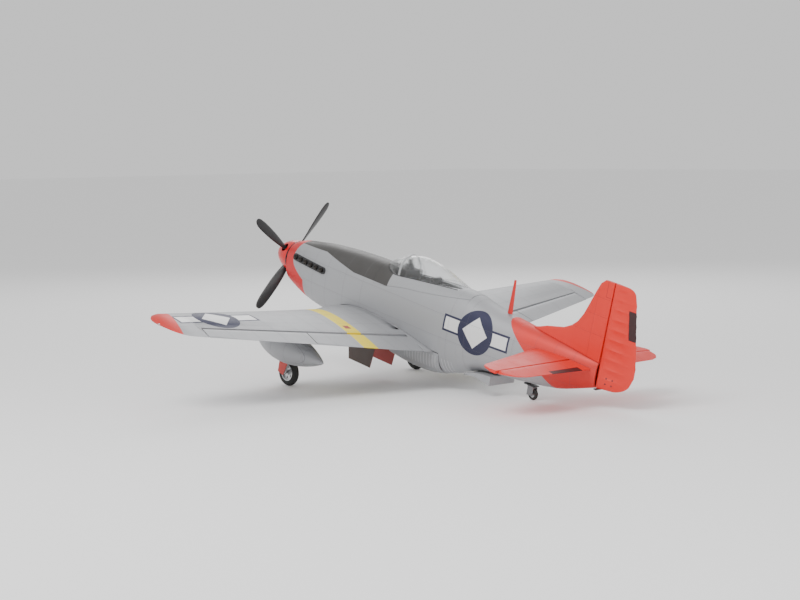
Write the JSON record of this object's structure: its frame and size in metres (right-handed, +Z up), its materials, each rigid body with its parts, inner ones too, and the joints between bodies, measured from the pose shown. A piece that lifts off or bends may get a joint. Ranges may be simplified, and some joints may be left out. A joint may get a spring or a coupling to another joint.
{
  "type": "radio-controlled foam airplane",
  "caption": "Low-wing foam radio-control warbird with a bubble canopy, four-blade propeller, retracting main wheels, working control surfaces and lift-off hatch.",
  "frame": {"origin": "on the ground under the middle of the box, with the model standing on its three wheels", "axes": "+X towards the left wing tip, +Y towards the tail, +Z up; the airframe sits nose-up by its ground angle"},
  "size_m": [1.4564, 1.2536, 0.4557],
  "materials": {
    "silver_foam": "satin silver paint on moulded foam",
    "red_foam": "red paint on moulded foam",
    "red_plastic": "gloss red plastic",
    "dark_red_plastic": "red plastic, dark grey inside",
    "black_plastic": "satin black plastic",
    "clear_canopy": "clear vacuum-formed plastic",
    "plywood": "light plywood",
    "steel": "steel",
    "aluminium": "satin aluminium",
    "rubber": "matt black foam rubber",
    "carbon": "carbon tube",
    "battery_wrap": "blue heat-shrink wrap",
    "electronics": "dark moulded case",
    "light_lens": "clear lamp lens",
    "cockpit_black": "matt black plastic"
  },
  "bodies": {
    "airframe": {"fuselage_left": "silver_foam", "fuselage_right": "silver_foam", "nose_cowl": "red_foam", "motor_can": "aluminium", "firewall": "plywood", "exhaust_stacks": "black_plastic", "battery": "battery_wrap", "battery_tray": "plywood", "speed_controller": "electronics", "receiver": "electronics", "belly_scoop": "silver_foam", "belly_fairing": "silver_foam", "radiator_flap": "silver_foam", "antenna_mast": "red_plastic", "wing_centre": "silver_foam", "wing_left": "silver_foam", "wing_right": "silver_foam", "wing_spar": "carbon", "drop_tanks": "silver_foam", "nav_lights": "light_lens", "wing_servos": "electronics", "retract_left": "aluminium", "retract_right": "aluminium", "fin": "red_foam", "stabiliser_left": "red_foam", "stabiliser_right": "red_foam", "tail_servos": "electronics", "tail_bracket": "black_plastic"},
    "propeller_unit": {"spinner": "red_plastic", "spinner_backplate": "black_plastic", "propeller": "black_plastic", "motor_shaft": "steel"},
    "hatch_body": {"hatch": "silver_foam", "windscreen": "clear_canopy", "canopy_glass": "clear_canopy", "windscreen_frame": "silver_foam", "cockpit_floor": "cockpit_black", "instrument_panel": "cockpit_black", "seat": "cockpit_black"},
    "flap_left_body": {"flap_left": "silver_foam"},
    "flap_right_body": {"flap_right": "silver_foam"},
    "aileron_left_body": {"aileron_left": "silver_foam"},
    "aileron_right_body": {"aileron_right": "silver_foam"},
    "elevator_body": {"elevators": "red_foam", "elevator_joiner": "steel"},
    "rudder_body": {"rudder": "red_foam", "rudder_horn": "black_plastic"},
    "gear_left": {"gear_leg_left": "aluminium", "gear_fairing_left": "dark_red_plastic"},
    "gear_right": {"gear_leg_right": "aluminium", "gear_fairing_right": "dark_red_plastic"},
    "wheel_left_body": {"wheel_left": "aluminium", "tyre_left": "rubber"},
    "wheel_right_body": {"wheel_right": "aluminium", "tyre_right": "rubber"},
    "gear_door_left_body": {"gear_door_left": "dark_red_plastic"},
    "gear_door_right_body": {"gear_door_right": "dark_red_plastic"},
    "tail_gear": {"tail_strut": "steel"},
    "tail_wheel_body": {"tail_wheel": "aluminium", "tail_tyre": "rubber"}
  },
  "joints": [
    {"name": "propeller_spin", "type": "hinge", "parent": "airframe", "child": "propeller_unit", "pos_m": [0, -0.57488, 0.31438], "axis": [0, 0.9744, -0.225], "continuous": true},
    {"name": "flap_left_hinge", "type": "hinge", "parent": "airframe", "child": "flap_left_body", "pos_m": [0.284, -0.07692, 0.14463], "axis": [-0.9845, 0.137, -0.1095], "range_deg": [0, 42]},
    {"name": "flap_right_hinge", "type": "hinge", "parent": "airframe", "child": "flap_right_body", "pos_m": [-0.284, -0.07692, 0.14463], "axis": [-0.9845, -0.137, 0.1095], "range_deg": [0, 42]},
    {"name": "aileron_left_hinge", "type": "hinge", "parent": "airframe", "child": "aileron_left_body", "pos_m": [0.509, -0.10823, 0.16967], "axis": [-0.9845, 0.137, -0.1095], "range_deg": [-18, 18]},
    {"name": "aileron_right_hinge", "type": "hinge", "parent": "airframe", "child": "aileron_right_body", "pos_m": [-0.509, -0.10823, 0.16967], "axis": [-0.9845, -0.137, 0.1095], "range_deg": [-18, 18]},
    {"name": "elevator_hinge", "type": "hinge", "parent": "airframe", "child": "elevator_body", "pos_m": [0, 0.44775, 0.10289], "axis": [-1, 0, 0], "range_deg": [-20, 20]},
    {"name": "rudder_hinge", "type": "hinge", "parent": "airframe", "child": "rudder_body", "pos_m": [0, 0.51835, 0.06196], "axis": [0, 0.225, 0.9744], "range_deg": [-25, 25]},
    {"name": "gear_left_fold", "type": "hinge", "parent": "airframe", "child": "gear_left", "pos_m": [0.238, -0.27059, 0.16099], "axis": [0.0894, 0.951, -0.296], "range_deg": [0, 92]},
    {"name": "gear_right_fold", "type": "hinge", "parent": "airframe", "child": "gear_right", "pos_m": [-0.238, -0.27059, 0.16099], "axis": [0.0894, -0.951, 0.296], "range_deg": [0, 92]},
    {"name": "wheel_left_spin", "type": "hinge", "parent": "gear_left", "child": "wheel_left_body", "pos_m": [0.225, -0.32945, 0.035], "axis": [1, 0, 0], "continuous": true},
    {"name": "wheel_right_spin", "type": "hinge", "parent": "gear_right", "child": "wheel_right_body", "pos_m": [-0.225, -0.32945, 0.035], "axis": [1, 0, 0], "continuous": true},
    {"name": "gear_door_left_hinge", "type": "hinge", "parent": "airframe", "child": "gear_door_left_body", "pos_m": [0.0386, -0.26025, 0.1391], "axis": [0, -0.9744, 0.225], "range_deg": [0, 86]},
    {"name": "gear_door_right_hinge", "type": "hinge", "parent": "airframe", "child": "gear_door_right_body", "pos_m": [-0.0386, -0.26025, 0.1391], "axis": [0, 0.9744, -0.225], "range_deg": [0, 86]},
    {"name": "tail_wheel_steer", "type": "hinge", "parent": "airframe", "child": "tail_gear", "pos_m": [0, 0.30158, 0.0299], "axis": [0, 0.225, 0.9744], "range_deg": [-25, 25]},
    {"name": "tail_wheel_spin", "type": "hinge", "parent": "tail_gear", "child": "tail_wheel_body", "pos_m": [0, 0.30829, 0.0145], "axis": [1, 0, 0], "continuous": true},
    {"name": "hatch_lift", "type": "slide", "parent": "airframe", "child": "hatch_body", "axis": [0, 0.225, 0.9744], "range_m": [0, 0.12]}
  ],
  "couplings": [
    {"joint": "flap_right_hinge", "follows": "flap_left_hinge", "ratio": 1},
    {"joint": "aileron_right_hinge", "follows": "aileron_left_hinge", "ratio": -1},
    {"joint": "gear_right_fold", "follows": "gear_left_fold", "ratio": 1},
    {"joint": "gear_door_right_hinge", "follows": "gear_door_left_hinge", "ratio": 1},
    {"joint": "tail_wheel_steer", "follows": "rudder_hinge", "ratio": 1}
  ]
}
